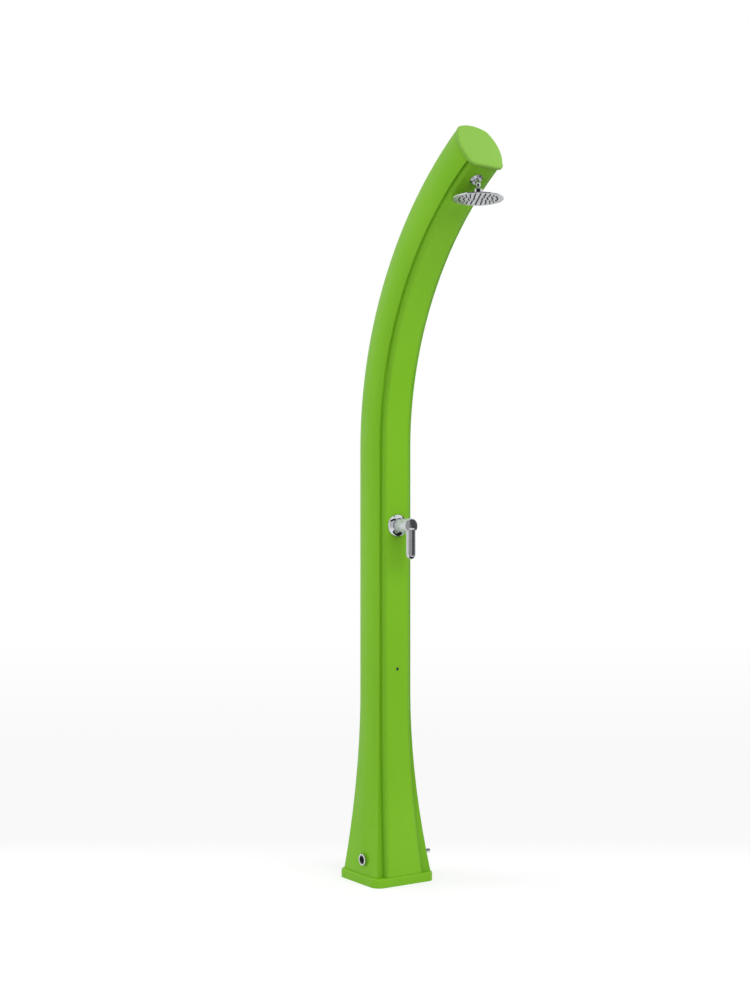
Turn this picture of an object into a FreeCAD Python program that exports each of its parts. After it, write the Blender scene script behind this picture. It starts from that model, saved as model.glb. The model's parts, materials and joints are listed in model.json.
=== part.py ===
import FreeCAD, Part
import math
import os
import re

import Sketcher

# Outdoor shower post: a hollow moulded column that flares into a foot at the
# bottom and curves forward at the top, with a lever mixer, an overhead shower
# on a ball joint, two water inlets low on its sides and the pipework inside.
#
# Millimetres. The origin is the middle of the foot on the ground, +Z is up,
# the user stands on the -Y side and +X is on the user's right as they face the post.

V = FreeCAD.Vector

SIZES = [
    # column, measured in the plane of its cross-section
    ("panel_half", 33.0, "half width of the flat front panel"),
    ("panel_face", 59.0, "front panel ahead of the column axis"),
    ("edge_half", 57.5, "half width at the front edge of the sides"),
    ("edge_face", 45.0, "front edge of the sides ahead of the axis"),
    ("widest_half", 67.5, "half width at the widest line of the sides"),
    ("widest_back", 6.0, "widest line behind the axis"),
    ("rear_half", 55.9, "half width where the rear corners start"),
    ("rear_back", 56.3, "start of the rear corners behind the axis"),
    ("rear_sweep", 64.0, "degrees turned by each rear corner"),
    ("edge_roll", 17.0, "radius of the rolled panel edges"),
    ("rear_round", 22.0, "radius of the rear corners"),
    # the same lines where the column meets the foot
    ("foot_panel_half", 53.5, "half width of the panel at the foot"),
    ("foot_panel_face", 101.0, "panel ahead of the axis at the foot"),
    ("foot_edge_half", 98.5, "half width at the side edges at the foot"),
    ("foot_edge_face", 94.0, "side edges ahead of the axis at the foot"),
    ("foot_widest_half", 101.0, "widest half width at the foot"),
    ("foot_widest_back", 0.0, "widest line behind the axis at the foot"),
    ("foot_rear_half", 99.5, "rear corner half width at the foot"),
    ("foot_rear_back", 80.0, "rear corners behind the axis at the foot"),
    ("foot_rear_sweep", 85.0, "degrees turned by each rear corner at the foot"),
    # column lengths
    ("wall", 4.5, "moulded wall"),
    ("floor_thick", 8.0, "floor of the tank"),
    ("flare_top", 570.0, "height where the flare ends"),
    ("flare_power", 1.9, "how sharply the flare opens"),
    ("bend_start", 1321.7, "height where the column starts to curve"),
    ("bend_radius", 924.6, "radius of the column axis"),
    ("bend_angle", 60.1, "degrees of curve"),
    # end cap
    ("cap_thick", 11.0, "cap outside the column"),
    ("cap_over", 1.0, "cap past the back"),
    ("cap_bulge", 4.0, "cap past the widest line of the sides"),
    ("cap_edge", 4.5, "cap past the front edges of the sides"),
    ("cap_lip", 5.0, "cap past the front panel"),
    ("cap_corner", 22.0, "front corner radius of the cap"),
    ("cap_round", 6.0, "rounding of the top edge of the cap"),
    ("cap_spigot", 16.0, "spigot of the cap inside the column"),
    ("spigot_gap", 0.4, "play round the spigot"),
    ("seal_thick", 1.5, "rubber seal under the cap"),
    # foot
    ("foot_half_x", 109.0, "foot half width"),
    ("foot_half_y", 107.0, "foot half depth"),
    ("foot_tall", 27.0, "foot height"),
    ("foot_corner", 28.0, "foot corner radius"),
    ("foot_round", 5.0, "rounding of the foot's top edge"),
    ("foot_skirt", 6.0, "foot wall"),
    ("foot_deck", 7.0, "foot top plate"),
    ("bolt_x", 62.0, "foot bolts beside the axis"),
    ("bolt_y", 58.0, "foot bolts ahead of and behind the axis"),
    ("bolt_r", 4.0, "M8 bolt shank radius"),
    ("bolt_long", 18.0, "foot bolt shank"),
    ("insert_r", 6.5, "brass insert radius"),
    ("insert_long", 16.0, "brass insert"),
    ("boss_wall", 5.0, "plastic round each insert"),
    ("play", 0.3, "play round a screw in its hole"),
    # ground plate
    ("plate_thick", 8.0, "steel ground plate"),
    ("plate_gap", 1.0, "ground plate inside the foot wall"),
    ("anchor_x", 70.0, "anchor holes beside the axis"),
    ("anchor_y", 35.0, "anchor holes ahead of and behind the axis"),
    ("anchor_r", 6.5, "anchor hole radius"),
    ("tab_thick", 8.0, "upturned tab for the lock screws"),
    ("tab_wide", 26.0, "tab width"),
    ("tab_tall", 17.0, "top of the tabs"),
    ("lock_x", 45.0, "lock screws beside the axis"),
    ("lock_up", 12.5, "lock screws above the ground"),
    ("lock_r", 3.0, "M6 lock screw radius"),
    ("tongue_wide", 60.0, "front tongue that hooks into the foot"),
    ("tongue_deep", 2.6, "tongue inside the foot wall"),
    ("tongue_thick", 4.0, "tongue thickness"),
    # water inlets
    ("feed_up", 72.0, "inlets above the ground"),
    ("feed_back", -20.0, "inlets and inner pipes behind the axis"),
    ("pad_face", 98.0, "flat pad under each inlet, from the axis"),
    ("pad_inner", 86.0, "inner face of the pad"),
    ("pad_r", 21.0, "pad radius"),
    ("socket_r", 17.5, "inlet flange radius"),
    ("socket_thick", 5.0, "inlet flange"),
    ("socket_gasket", 1.5, "inlet gasket"),
    ("shank_r", 12.5, "inlet shank radius"),
    ("shank_end", 62.0, "inner end of the shank, from the axis"),
    ("thread_r", 9.3, "half inch pipe thread, bore radius"),
    ("thread_deep", 16.0, "thread depth"),
    ("water_r", 7.0, "waterway radius"),
    ("nut_thick", 7.5, "inlet locknut"),
    ("nut_flats", 32.0, "inlet locknut across flats"),
    ("seat", 0.05, "play of a thread or a running fit"),
    # hose nipple
    ("nipple_r", 7.25, "hose nipple radius"),
    ("nipple_end", 147.0, "tip of the nipple, from the axis"),
    ("nipple_hex", 24.0, "nipple hexagon across flats"),
    ("nipple_hex_thick", 7.0, "nipple hexagon"),
    ("nipple_bore", 4.5, "nipple bore radius"),
    ("nipple_groove", 1.3, "depth of the catch groove"),
    # feed manifold and hoses
    ("manifold_r", 10.0, "manifold tube radius"),
    ("cup_r", 16.0, "manifold cup radius"),
    ("cup_end", 72.0, "manifold cup end, from the axis"),
    ("cup_deep", 20.0, "manifold cup length"),
    ("port_r", 7.0, "pipe stub radius"),
    ("port_x", 13.0, "cold and hot stubs beside the axis"),
    ("port_reach", 46.0, "mixer stubs from the mixer axis"),
    ("port_tall", 32.0, "manifold stub from the manifold axis"),
    ("fill_x", 30.0, "tank filling stub beside the axis"),
    ("valve_r", 9.0, "non-return valve radius"),
    ("valve_tall", 26.0, "non-return valve"),
    ("hose_r", 6.5, "hose radius"),
    ("hose_bore", 4.5, "hose bore radius"),
    ("hose_nut_flats", 19.0, "hose nut across flats"),
    ("hose_nut_long", 13.0, "hose nut"),
    ("hot_back", 42.0, "hot hose behind the axis"),
    ("hot_drop", 70.0, "hot hose below its port"),
    ("hot_top", 48.0, "degrees of curve that the hot hose follows"),
    ("elbow_r", 11.0, "riser elbow radius"),
    # mixer, measured along its axis from the front panel
    ("mixer_up", 1083.0, "mixer above the ground"),
    ("neck_r", 15.5, "mixer neck radius"),
    ("neck_end", 24.0, "end of the neck"),
    ("neck_hole_gap", 0.5, "play of the neck in the panel"),
    ("block_r", 21.0, "mixer block radius"),
    ("block_back", 62.0, "back of the block behind the panel"),
    ("collar_r", 26.0, "mixer flange radius"),
    ("collar_thick", 4.0, "mixer flange"),
    ("gasket_thick", 2.0, "mixer gasket"),
    ("ring_flats", 44.0, "mixer locknut across flats"),
    ("ring_thick", 6.0, "mixer locknut"),
    ("rose_r", 35.0, "escutcheon radius"),
    ("rose_rim", 2.5, "escutcheon rim"),
    ("rose_end", 13.0, "end of the escutcheon"),
    ("rose_wall", 1.6, "escutcheon wall"),
    ("sleeve_r", 19.0, "sleeve and dome radius"),
    ("sleeve_wall", 1.4, "sleeve wall"),
    ("pivot_at", 34.0, "lever pivot"),
    ("dome_mouth", 14.5, "opening of the dome"),
    ("cartridge_r", 12.5, "cartridge radius"),
    ("cartridge_back", -4.0, "cartridge seat"),
    ("cartridge_end", 25.5, "cartridge shoulder"),
    ("cartridge_top", 31.0, "cartridge top"),
    ("cartridge_top_r", 10.2, "cartridge top radius"),
    ("carrier_r", 8.0, "carrier radius"),
    ("carrier_back", 20.3, "carrier foot"),
    ("carrier_end", 38.0, "carrier end"),
    ("slot_half", 4.3, "carrier slot half width"),
    ("slot_back", 27.5, "carrier slot bottom"),
    ("pin_r", 1.5, "pivot pin radius"),
    ("spindle_half", 4.0, "square spindle half width"),
    ("spindle_end", 65.0, "end of the spindle"),
    # lever
    ("lever_r", 21.5, "lever head radius"),
    ("lever_back", 42.0, "back of the lever head"),
    ("lever_front", 69.0, "front of the lever head"),
    ("lever_round", 2.5, "front edge of the lever head"),
    ("lever_gap", 1.0, "lever head clear of the dome"),
    ("lever_boss_r", 7.0, "boss round the spindle"),
    ("lever_boss_back", 45.5, "back of the boss"),
    ("paddle_half", 14.0, "lever paddle half width"),
    ("paddle_thick", 12.0, "lever paddle"),
    ("paddle_back", 55.5, "back of the paddle"),
    ("paddle_reach", 100.0, "paddle tip from the lever axis"),
    ("paddle_round", 3.0, "rounding of the paddle"),
    ("badge_r", 18.0, "plain cap in the lever head"),
    ("badge_deep", 1.2, "recess of the plain cap"),
    ("badge_thick", 2.0, "plain cap"),
    ("grub_r", 2.5, "grub screw radius"),
    ("grub_long", 8.0, "grub screw"),
    ("grub_at", 60.0, "grub screw from the panel"),
    # shower arm, measured from the front panel at its own station
    ("arm_station", 56.8, "degrees of curve at the arm"),
    ("arm_r", 7.0, "arm radius"),
    ("arm_bore", 3.5, "arm bore radius"),
    ("arm_out", 12.0, "arm straight out of the panel"),
    ("arm_bend", 14.0, "arm bend radius"),
    ("arm_drop", 3.5, "arm straight after the bend"),
    ("arm_in", 21.0, "arm inside the panel face"),
    ("arm_nut_flats", 27.0, "arm locknut across flats"),
    ("arm_nut_thick", 7.0, "arm locknut"),
    ("arm_gasket", 1.5, "arm gasket"),
    ("arm_rose_r", 19.0, "arm rosette radius"),
    ("arm_flange_r", 11.0, "arm flange radius"),
    ("arm_flange", 2.5, "arm flange"),
    ("ball_r", 8.0, "ball radius"),
    ("ball_neck_r", 3.5, "neck above the ball"),
    ("ball_neck_top", 13.0, "arm end above the ball centre"),
    # shower head, measured from the ball centre
    ("ball_gap", 0.1, "play between the ball and its seal"),
    ("seal_wall", 0.9, "wall of the spherical ball seal"),
    ("seal_top", -3.2, "top of the ball seal"),
    ("seal_low", -7.0, "bottom of the ball seal"),
    ("cup_outer", 10.3, "head cup radius"),
    ("cup_top", -1.2, "top of the head cup"),
    ("swivel_r", 12.3, "swivel nut radius"),
    ("swivel_top", 5.0, "top of the swivel nut"),
    ("swivel_low", -9.0, "bottom of the swivel nut"),
    ("swivel_play", 0.3, "swivel nut clear of the ball"),
    ("head_r", 72.0, "shower head radius"),
    ("head_neck", -15.2, "back of the head at its neck"),
    ("head_shoulder", -18.4, "back of the head near its rim"),
    ("head_edge", -20.4, "back of the head at its rim"),
    ("head_face", -23.0, "face of the head rim"),
    ("head_wall", 1.6, "head wall"),
    ("head_water", 3.0, "waterway radius in the head"),
    ("rim_step", 0.4, "face plate behind the rim"),
    ("face_thick", 1.4, "face plate"),
    ("mat_thick", 0.8, "rubber mat that carries the nozzles"),
    ("nozzle_r", 2.0, "nozzle radius"),
    ("nozzle_tall", 2.2, "nozzles below the face plate"),
    ("nozzle_step", 13.6, "distance between nozzle rings"),
    ("nozzle_rings", 4, "nozzle rings"),
    ("nozzle_more", 6, "nozzles that each ring adds"),
    # blanking plug of the foot tap
    ("plug_up", 647.0, "plug above the ground"),
    ("plug_r", 4.5, "plug head radius"),
    ("plug_tall", 1.8, "plug head"),
    ("plug_shank", 3.4, "plug shank radius"),
    ("plug_long", 9.0, "plug shank"),
]

doc = FreeCAD.newDocument("ShowerPost")
sheet = doc.addObject("Spreadsheet::Sheet", "Sizes")
for row, (alias, size, note) in enumerate(SIZES, start=1):
    sheet.set("A%d" % row, note)
    sheet.set("B%d" % row, str(size))
    sheet.setAlias("B%d" % row, alias)
doc.recompute()

ALIASES = {alias for alias, size, note in SIZES}
NODES = {}


# ---------------------------------------------------------------- expressions

def value(expression):
    """The number that an expression of sheet names stands for."""
    return float(sheet.evalExpression(str(expression)))


def linked(expression):
    """The same expression as a document object needs it, with the sheet's name."""
    return re.sub(r"[A-Za-z_]\w*", lambda m: "Sizes." + m.group(0) if m.group(0) in ALIASES
                  else m.group(0), str(expression))


def bind(thing, prop, expression):
    thing.setExpression(prop, linked(expression))


def place(thing, x=0, y=0, z=0, axis=V(1, 0, 0), angle=0):
    """Turn a sub-part about an axis through its own origin, then move it."""
    thing.Placement = FreeCAD.Placement(V(value(x), value(y), value(z)),
                                        FreeCAD.Rotation(axis, value(angle)))
    for name, expression in (("x", x), ("y", y), ("z", z)):
        bind(thing, "Placement.Base." + name, expression)
    bind(thing, "Placement.Rotation.Angle", angle)


def node(thing, label):
    """Keep an object as one named sub-part."""
    thing.Label = label
    NODES[label] = thing
    return thing


# ------------------------------------------------------------------- sketches

def plane_of(body, role):
    return [f for f in body.Origin.OriginFeatures if f.Role == role][0]


def new_sketch(body, name, role="XY_Plane", offset=0):
    sketch = body.newObject("Sketcher::SketchObject", name)
    sketch.AttachmentSupport = [(plane_of(body, role), "")]
    sketch.MapMode = "FlatFace"
    bind(sketch, "AttachmentOffset.Base.z", offset)
    return sketch


def constrain(sketch, kind, *where, size):
    number = sketch.addConstraint(Sketcher.Constraint(kind, *where, value(size)))
    bind(sketch, "Constraints[%d]" % number, size)


def outline(sketch, steps, closed=True):
    """Draw an outline. Each step is the next corner (x, y), reached by a line,
    or (x, y, radius, cx, cy), reached by an arc about a centre near (cx, cy).
    An open outline starts at its first step."""
    corners = [(step[0], step[1]) for step in steps]
    first = sketch.GeometryCount - (0 if closed else 1)
    ends = []
    for number, step in enumerate(steps):
        if number == 0 and not closed:
            ends.append(None)
            continue
        x0, y0 = (value(v) for v in corners[number - 1])
        x1, y1 = (value(v) for v in corners[number])
        if len(step) == 2:
            sketch.addGeometry(Part.LineSegment(V(x0, y0, 0), V(x1, y1, 0)), False)
            ends.append((1, 2))
            continue
        cx, cy = value(step[3]), value(step[4])
        start = math.atan2(y0 - cy, x0 - cx)
        stop = math.atan2(y1 - cy, x1 - cx)
        forward = (stop - start) % (2 * math.pi) < math.pi
        if not forward:
            start, stop = stop, start
        circle = Part.Circle(V(cx, cy, 0), V(0, 0, 1), value(step[2]))
        sketch.addGeometry(Part.ArcOfCircle(circle, start, stop), False)
        ends.append((1, 2) if forward else (2, 1))
    count = len(steps)
    for number in range(0 if closed else 1, count if closed else count - 1):
        following = (number + 1) % count
        sketch.addConstraint(Sketcher.Constraint("Coincident", first + number, ends[number][1],
                                                 first + following, ends[following][0]))
    for number, (x, y) in enumerate(corners):
        geometry, point = first + number, (ends[number] or (1, 1))[1]
        if ends[number] is None:
            geometry, point = first + 1, ends[1][0]
        constrain(sketch, "DistanceX", -1, 1, geometry, point, size=x)
        constrain(sketch, "DistanceY", -1, 1, geometry, point, size=y)
    for number, step in enumerate(steps):
        if len(step) > 2 and ends[number]:
            constrain(sketch, "Radius", first + number, size=step[2])


def circle(sketch, x, y, radius):
    number = sketch.addGeometry(Part.Circle(V(value(x), value(y), 0), V(0, 0, 1), value(radius)))
    constrain(sketch, "DistanceX", -1, 1, number, 3, size=x)
    constrain(sketch, "DistanceY", -1, 1, number, 3, size=y)
    constrain(sketch, "Radius", number, size=radius)


def rounded_box(sketch, half_x, half_y, corner):
    """A rectangle about the origin with rounded corners."""
    steps = []
    for sx, sy in ((1, -1), (1, 1), (-1, 1), (-1, -1)):
        inner_x = "%d * ((%s) - (%s))" % (sx, half_x, corner)
        inner_y = "%d * ((%s) - (%s))" % (sy, half_y, corner)
        full_x = "%d * (%s)" % (sx, half_x)
        full_y = "%d * (%s)" % (sy, half_y)
        turn = [(inner_x, full_y), (full_x, inner_y)]
        if sx * sy > 0:
            turn.reverse()
        steps.append(turn[0])
        steps.append(turn[1] + (corner, inner_x, inner_y))
    outline(sketch, steps)


# ----------------------------------------------------------------- solid tools

def new_body(name):
    return doc.addObject("PartDesign::Body", name)


def pad(body, sketch, length, reverse=False):
    feature = body.newObject("PartDesign::Pad", "Pad")
    feature.Profile = sketch
    bind(feature, "Length", length)
    feature.Reversed = reverse
    return feature


def pocket(body, sketch, length, reverse=False):
    feature = body.newObject("PartDesign::Pocket", "Pocket")
    feature.Profile = sketch
    bind(feature, "Length", length)
    feature.Reversed = reverse
    return feature


def turned(name, steps):
    """A body revolved about its own Z axis; the steps are (radius, z) corners."""
    body = new_body(name)
    sketch = new_sketch(body, name + "_profile", "XZ_Plane")
    outline(sketch, steps)
    feature = body.newObject("PartDesign::Revolution", "Turn")
    feature.Profile = sketch
    feature.ReferenceAxis = (sketch, ["V_Axis"])
    feature.Angle = 360
    return body


def ring(name, inner, outer, low, high):
    return turned(name, [(inner, low), (outer, low), (outer, high), (inner, high)])


def rod(name, radius, low, high):
    return turned(name, [(0, low), (radius, low), (radius, high), (0, high)])


def hexagon(name, flats, bore, low, high):
    """A hexagonal nut about its own Z axis."""
    body = new_body(name)
    sketch = new_sketch(body, name + "_profile", offset=low)
    corner = "(%s) / sqrt(3)" % flats
    steps = [("%s * cos(%d)" % (corner, a), "%s * sin(%d)" % (corner, a)) for a in range(0, 360, 60)]
    outline(sketch, steps)
    if bore:
        circle(sketch, 0, 0, bore)
    pad(body, sketch, "(%s) - (%s)" % (high, low))
    return body


def round_edges(body, radius, chosen):
    """Fillet the edges of a body's last feature that a test picks."""
    doc.recompute()
    base = body.Tip
    names = ["Edge%d" % (i + 1) for i, edge in enumerate(base.Shape.Edges) if chosen(edge)]
    feature = body.newObject("PartDesign::Fillet", "Fillet")
    feature.Base = (base, names)
    bind(feature, "Radius", radius)
    return feature


def cut(name, base, *tools):
    feature = doc.addObject("Part::Cut", name)
    feature.Base = base
    feature.Tool = tools[0] if len(tools) == 1 else fuse(name + "_tools", *tools)
    return feature


def fuse(name, *shapes):
    feature = doc.addObject("Part::MultiFuse", name)
    feature.Shapes = list(shapes)
    return feature


def box(name, size, corner):
    """A box by its size and its lowest corner."""
    solid = doc.addObject("Part::Box", name)
    for prop, expression in zip(("Length", "Width", "Height"), size):
        bind(solid, prop, expression)
    for prop, expression in zip("xyz", corner):
        bind(solid, "Placement.Base." + prop, expression)
    return solid


def cylinder(name, radius, length, x=0, y=0, z=0, axis=V(1, 0, 0), angle=0):
    solid = doc.addObject("Part::Cylinder", name)
    bind(solid, "Radius", radius)
    bind(solid, "Height", length)
    place(solid, x, y, z, axis, angle)
    return solid


def group(label, solids):
    """Several identical pieces kept as one sub-part of separate solids."""
    feature = doc.addObject("Part::Compound", label)
    feature.Links = solids
    return node(feature, label)


# ------------------------------------------------------------- places in space

AXIS_X = V(1, 0, 0)
AXIS_Y = V(0, 1, 0)


def on_panel(thing, height):
    """Put a piece on the straight part of the front panel, its Z axis outward."""
    place(thing, 0, "-panel_face", height, AXIS_X, 90)


def on_curve(thing, station, x=0, radial="bend_radius - panel_face"):
    """Put a piece on the curved part, its Z axis pointing to the bend centre."""
    place(thing, x, "-bend_radius + (%s) * cos(%s)" % (radial, station),
          "bend_start + (%s) * sin(%s)" % (radial, station), AXIS_X, "90 + %s" % station)


def on_side(thing, side):
    """Put a piece on an inlet's axis, its Z axis pointing out of the post."""
    place(thing, 0, "feed_back", "feed_up", AXIS_Y * side, 90)


# ----------------------------------------------------------------- column shell

LEDGE_INSET = 1.8    # keeps the full wall behind the slanting ledge of the groove
COLUMN_LINES = ("panel_half", "panel_face", "edge_half", "edge_face", "widest_half",
                "widest_back", "rear_half", "rear_back", "rear_sweep")


def mirrored(right, arch):
    """The left half of a section, which its rear arch joins to the right half."""
    left = []
    for number in range(len(right) - 1, -1, -1):
        x, y = right[number][:2]
        arc = right[number + 1][2:] if number + 1 < len(right) else arch
        if arc and number + 1 < len(right):
            arc = (arc[0], "-(%s)" % arc[1], arc[2])
        left.append(("-(%s)" % x, y) + tuple(arc))
    return left


def flank(widest_x, widest_y, edge_x, edge_y, corner_x, corner_y, corner_r):
    """The bulging side of a section: an arc from its front edge to its widest
    point, and another from there that runs smoothly into the rear corner."""
    front_r = "((({0} - {1}) ^ 2 + ({2} - {3}) ^ 2) / (2 * ({0} - {1})))".format(
        widest_x, edge_x, widest_y, edge_y)
    reach = "(%s - %s)" % (widest_x, corner_x)
    rise = "(%s - %s)" % (corner_y, widest_y)
    rear_r = "((%s ^ 2 + %s ^ 2 - %s ^ 2) / (2 * (%s - %s)))" % (reach, rise, corner_r, reach, corner_r)
    rear_x = "(%s - %s)" % (widest_x, rear_r)
    swing = "(%s / (%s - %s))" % (corner_r, rear_r, corner_r)
    return [
        (widest_x, widest_y, front_r, "(%s - %s)" % (widest_x, front_r), widest_y),
        ("(%s + %s * (%s - %s))" % (corner_x, swing, corner_x, rear_x),
         "(%s + %s * %s)" % (corner_y, swing, rise), rear_r, rear_x, widest_y),
    ]


def column_section(sketch, flare, inset):
    """The column's cross-section, inset from its outer surface. flare is 0 above
    the flare and 1 at the foot."""
    line = {name: "(%s + (foot_%s - %s) * (%s))" % (name, name, name, flare) for name in COLUMN_LINES}
    roll = "(edge_roll - %s)" % inset
    front = "(-%s + %s)" % (line["panel_face"], inset)
    valley_x = "(%s + edge_roll - %s)" % (line["panel_half"], inset)
    valley_y = "(-%s + edge_roll)" % line["panel_face"]
    edge_x = "(%s - %s)" % (line["edge_half"], inset)
    edge_y = "(-%s + %s * %s)" % (line["edge_face"], LEDGE_INSET, inset)
    corner_r = "(rear_round - %s)" % inset
    corner_x = "(%s - rear_round)" % line["rear_half"]
    corner_y = line["rear_back"]
    arch_r = "(%s + %s / cos(%s))" % (corner_r, corner_x, line["rear_sweep"])
    arch_y = "(%s - %s * tan(%s))" % (corner_y, corner_x, line["rear_sweep"])
    corner_end_x = "(%s + %s * cos(%s))" % (corner_x, corner_r, line["rear_sweep"])
    corner_end_y = "(%s + %s * sin(%s))" % (corner_y, corner_r, line["rear_sweep"])
    right = [
        (line["panel_half"], front),
        (valley_x, valley_y, roll, line["panel_half"], valley_y),
    ]
    if inset != "0":
        right.append((valley_x, "(%s + %s * %s)" % (valley_y, LEDGE_INSET, inset)))
    right.append((edge_x, edge_y))
    right += flank("(%s - %s)" % (line["widest_half"], inset), line["widest_back"], edge_x, edge_y,
                   corner_x, corner_y, corner_r)
    right.append((corner_end_x, corner_end_y, corner_r, corner_x, corner_y))
    outline(sketch, right + mirrored(right, (arch_r, "0", arch_y)))


FLARE_STEPS = (0.0, 0.2, 0.45, 0.72, 1.0)


def column(name, inset, bottom, sweep):
    """Flared foot, straight column and curved top as one solid."""
    body = new_body(name)
    sections = []
    for number, step in enumerate(FLARE_STEPS):
        height = "(%s) + (flare_top - (%s)) * %s" % (bottom, bottom, step)
        flare = "((flare_top - (%s)) / (flare_top - foot_tall)) ^ flare_power" % height
        if step == 1.0:
            flare = "0"
        sketch = new_sketch(body, "%s_flare_%d" % (name, number), offset=height)
        column_section(sketch, flare, inset)
        sections.append(sketch)
    loft = body.newObject("PartDesign::AdditiveLoft", "Flare")
    loft.Profile = sections[0]
    loft.Sections = sections[1:]
    straight = new_sketch(body, name + "_straight", offset="flare_top")
    column_section(straight, "0", inset)
    pad(body, straight, "bend_start - flare_top")
    curved = new_sketch(body, name + "_curved", offset="bend_start")
    column_section(curved, "0", inset)
    reach, depth = value("panel_half"), -value("bend_radius")
    hinge = curved.addGeometry(Part.LineSegment(V(-reach, depth, 0), V(reach, depth, 0)), True)
    for end, x in ((1, "-panel_half"), (2, "panel_half")):
        constrain(curved, "DistanceX", -1, 1, hinge, end, size=x)
        constrain(curved, "DistanceY", -1, 1, hinge, end, size="-bend_radius")
    bend = body.newObject("PartDesign::Revolution", "Bend")
    bend.Profile = curved
    bend.ReferenceAxis = (curved, ["Axis0"])
    bind(bend, "Angle", sweep)
    return body


def post_shell():
    outer = column("column_outer", "0", "foot_tall", "bend_angle")
    cavity = column("column_cavity", "wall", "foot_tall + floor_thick", "bend_angle + 1")
    hollow = cut("hollow_column", outer, cavity)
    added = [hollow]
    holes = []
    for side in (-1, 1):
        pad_solid = cylinder("inlet_pad", "pad_r", "pad_face - pad_inner",
                             "%d * pad_inner" % side, "feed_back", "feed_up", AXIS_Y * side, 90)
        added.append(pad_solid)
        holes.append(cylinder("inlet_hole", "shank_r + play", "pad_face",
                              0, "feed_back", "feed_up", AXIS_Y * side, 90))
        for end in (-1, 1):
            x, y = "%d * bolt_x" % side, "%d * bolt_y" % end
            boss_tall = "insert_long + wall - floor_thick / 2"
            added.append(cylinder("floor_boss", "insert_r + boss_wall", boss_tall,
                                  x, y, "foot_tall + floor_thick / 2"))
            holes.append(cylinder("insert_hole", "insert_r + seat", "insert_long", x, y, "foot_tall"))
    mixer_hole = cylinder("mixer_hole", "neck_r + neck_hole_gap", "3 * wall")
    place(mixer_hole, 0, "-panel_face + 2 * wall", "mixer_up", AXIS_X, 90)
    plug_hole = cylinder("plug_hole", "plug_shank + play / 2", "3 * wall")
    place(plug_hole, 0, "-panel_face + 2 * wall", "plug_up", AXIS_X, 90)
    arm_hole = cylinder("arm_hole", "arm_r + play", "3 * wall")
    on_curve(arm_hole, "arm_station", radial="bend_radius - panel_face + 2 * wall")
    holes += [mixer_hole, plug_hole, arm_hole]
    solid = fuse("column_with_bosses", *added)
    node(cut("shell", solid, *holes), "post_shell")


def end_cap():
    """Cap over the open end, with a lip past the front panel and a hollow spigot."""
    body = new_body("cap")
    half = "(widest_half + cap_bulge)"
    front = "(-panel_face - cap_lip)"
    corner_r = "(rear_round + cap_over)"
    corner_x = "(rear_half - rear_round)"
    arch_r = "(%s + %s / cos(rear_sweep))" % (corner_r, corner_x)
    arch_y = "(rear_back - %s * tan(rear_sweep))" % corner_x
    end_x = "(%s + %s * cos(rear_sweep))" % (corner_x, corner_r)
    end_y = "(rear_back + %s * sin(rear_sweep))" % corner_r
    top = new_sketch(body, "cap_outline", offset="seal_thick")
    edge_x = "(edge_half + cap_edge)"
    inner_x = "(%s - cap_corner)" % edge_x
    inner_y = "(%s + cap_corner)" % front
    sides = flank(half, "widest_back", edge_x, inner_y, corner_x, "rear_back", corner_r)
    right = [
        (inner_x, front),
        (edge_x, inner_y, "cap_corner", inner_x, inner_y),
    ] + sides + [
        (end_x, end_y, corner_r, corner_x, "rear_back"),
    ]
    outline(top, right + mirrored(right, (arch_r, "0", arch_y)))
    pad(body, top, "cap_thick - seal_thick")
    level = value("cap_thick")
    round_edges(body, "cap_round", lambda edge: min(v.Z for v in edge.Vertexes) > level - 0.01)
    spigot = new_sketch(body, "spigot_outline", offset="-cap_spigot")
    column_section(spigot, "0", "(wall + spigot_gap)")
    pad(body, spigot, "cap_spigot + seal_thick + 1")
    hollow = new_sketch(body, "spigot_hollow", offset="-cap_spigot")
    column_section(hollow, "0", "(2 * wall + spigot_gap)")
    pocket(body, hollow, "cap_spigot", reverse=True)
    node(body, "end_cap")
    seal = new_body("seal")
    band = new_sketch(seal, "seal_band")
    column_section(band, "0", "1")
    column_section(band, "0", "wall")
    pad(seal, band, "seal_thick")
    node(seal, "cap_seal")
    for thing in (body, seal):
        place(thing, 0, "-bend_radius * (1 - cos(bend_angle))",
              "bend_start + bend_radius * sin(bend_angle)", AXIS_X, "bend_angle")


# ------------------------------------------------------------------------ foot

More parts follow.
